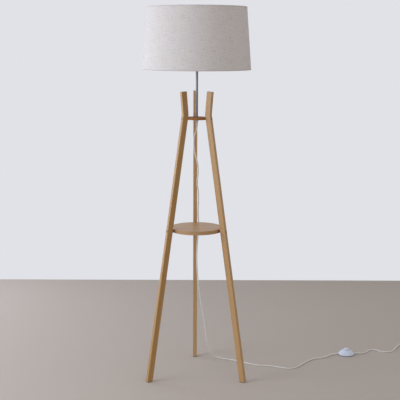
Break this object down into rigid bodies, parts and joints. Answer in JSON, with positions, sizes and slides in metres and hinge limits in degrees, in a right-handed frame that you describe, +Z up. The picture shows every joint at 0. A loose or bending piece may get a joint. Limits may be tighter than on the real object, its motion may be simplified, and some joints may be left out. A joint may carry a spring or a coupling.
{
  "type": "shelf floor lamp",
  "caption": "Floor lamp on kinked oak legs with a small round shelf, a steel stem, a tapered linen drum shade and a foot switch on its flex.",
  "frame": {"origin": "on the floor, under the stem; the rear foot reaches a little further than the shade, so the middle of the box lies 8 mm behind it", "axes": "+Z up along the stem, +Y along the rear leg, the flex leaves towards +X"},
  "size_m": [1.3318, 0.7546, 1.572],
  "materials": {
    "oak": "oiled oak, satin",
    "felt": "pressed felt",
    "dark_steel": "black, low sheen",
    "brass": "plain brass",
    "stem_metal": "satin steel",
    "plated_steel": "zinc plated",
    "clear_flex": "clear soft plastic over pale cores",
    "holder_plastic": "moulded, white",
    "insulator": "dark insulator",
    "frosted_glass": "frosted",
    "linen": "woven linen",
    "lining": "stiff white film",
    "tape": "rolled linen tape",
    "ring_wire": "white powder coat",
    "switch_plastic": "moulded, white",
    "switch_base_plastic": "moulded, dark grey",
    "pad_rubber": "soft, matt"
  },
  "bodies": {
    "stand": {"leg_front_left": "oak", "leg_front_right": "oak", "leg_rear": "oak", "hub_plate": "oak", "shelf": "oak", "pad_front_left": "felt", "pad_front_right": "felt", "pad_rear": "felt", "plate_bolts": "dark_steel", "shelf_bolts": "dark_steel", "shelf_spacers": "dark_steel", "plate_inserts": "brass", "shelf_inserts": "brass", "holder_contacts": "brass", "holder_wires": "brass", "switch_contacts": "brass", "switch_terminals": "brass", "stem": "stem_metal", "lock_nut": "plated_steel", "stem_nut": "plated_steel", "stem_washer": "plated_steel", "holder_screws": "plated_steel", "switch_screws": "plated_steel", "switch_spring": "plated_steel", "plug_pins": "plated_steel", "bulb_cap": "plated_steel", "holder_shell": "plated_steel", "cord_gland": "clear_flex", "stem_flex": "clear_flex", "switch_flex": "clear_flex", "cord_drop": "clear_flex", "cord_tail": "clear_flex", "cord_coil": "clear_flex", "holder_cap": "holder_plastic", "holder_sleeve": "holder_plastic", "shade_ring": "holder_plastic", "holder_insulator": "insulator", "bulb_contact": "insulator", "switch_block": "insulator", "bulb_glass": "frosted_glass", "shade_cover": "linen", "shade_lining": "lining", "shade_tape_top": "tape", "shade_tape_bottom": "tape", "shade_top_ring": "ring_wire", "shade_bottom_ring": "ring_wire", "shade_spider": "ring_wire", "switch_cover": "switch_plastic", "plug_body": "switch_plastic", "plug_relief": "switch_plastic", "switch_base": "switch_base_plastic", "switch_clamps": "switch_base_plastic", "switch_pad": "pad_rubber"},
    "foot_button": {"switch_button": "switch_plastic", "switch_bridge": "brass"}
  },
  "joints": [
    {"name": "foot_button_press", "type": "slide", "parent": "stand", "child": "foot_button", "axis": [0, 0, -1], "range_m": [0, 0.0035], "stiffness_N_per_m": 400, "springref_m": -0.003, "deforming": ["switch_spring"]}
  ]
}
